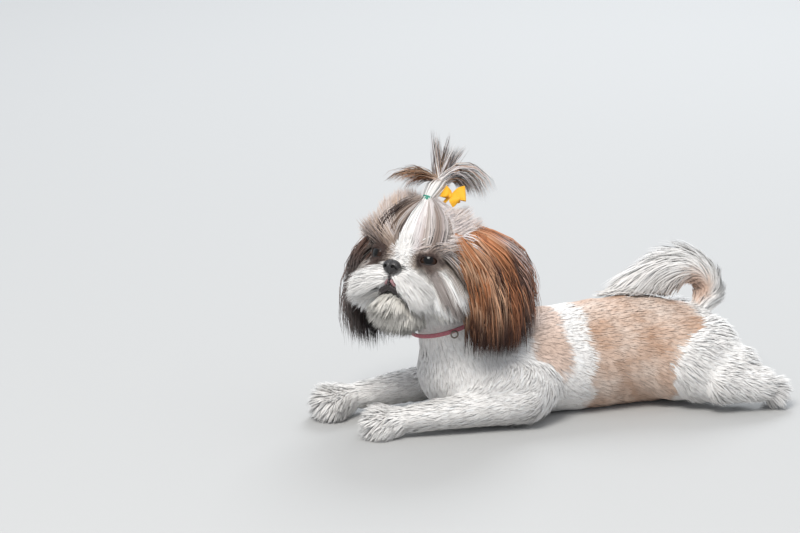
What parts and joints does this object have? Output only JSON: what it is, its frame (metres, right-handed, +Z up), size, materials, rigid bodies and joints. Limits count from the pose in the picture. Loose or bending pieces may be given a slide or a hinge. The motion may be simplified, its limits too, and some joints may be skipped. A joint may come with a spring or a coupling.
{
  "type": "shih tzu",
  "caption": "Life-size shih tzu lying on its belly, forelegs ahead, head raised and turned left, with a long-haired head, hanging ears, topknot in a band and tail curled over its back",
  "frame": {"origin": "on the floor, in the middle of the flat of the belly below the ribs", "axes": "-X to the nose end of the body, -Y to the dog's left side, +Z up"},
  "size_m": [0.4971, 0.2245, 0.2903],
  "materials": {
    "body_coat": "short white coat with a tan saddle, on skin",
    "face_coat": "long soft white hair with grey and brown markings",
    "ear_coat": "long chestnut hair with dark tips",
    "nose": "moist black nose skin",
    "eye": "wet dark brown eye",
    "band": "teal elastic hair band",
    "bow": "yellow ribbon",
    "collar": "thin dusty pink collar"
  },
  "bodies": {
    "root": {"torso": "body_coat", "neck": "body_coat", "head": "face_coat", "muzzle": "face_coat", "lower_jaw": "face_coat", "nose": "nose", "eye_left": "eye", "eye_right": "eye", "ear_left": "ear_coat", "ear_right": "ear_coat", "topknot": "face_coat", "topknot_band": "band", "bow": "bow", "collar": "collar", "foreleg_left": "body_coat", "foreleg_right": "body_coat", "forepaw_left": "body_coat", "forepaw_right": "body_coat", "hind_leg_left": "body_coat", "hind_leg_right": "body_coat", "hind_paw_left": "body_coat", "hind_paw_right": "body_coat", "tail_root": "body_coat", "tail_plume": "body_coat"}
  },
  "joints": []
}
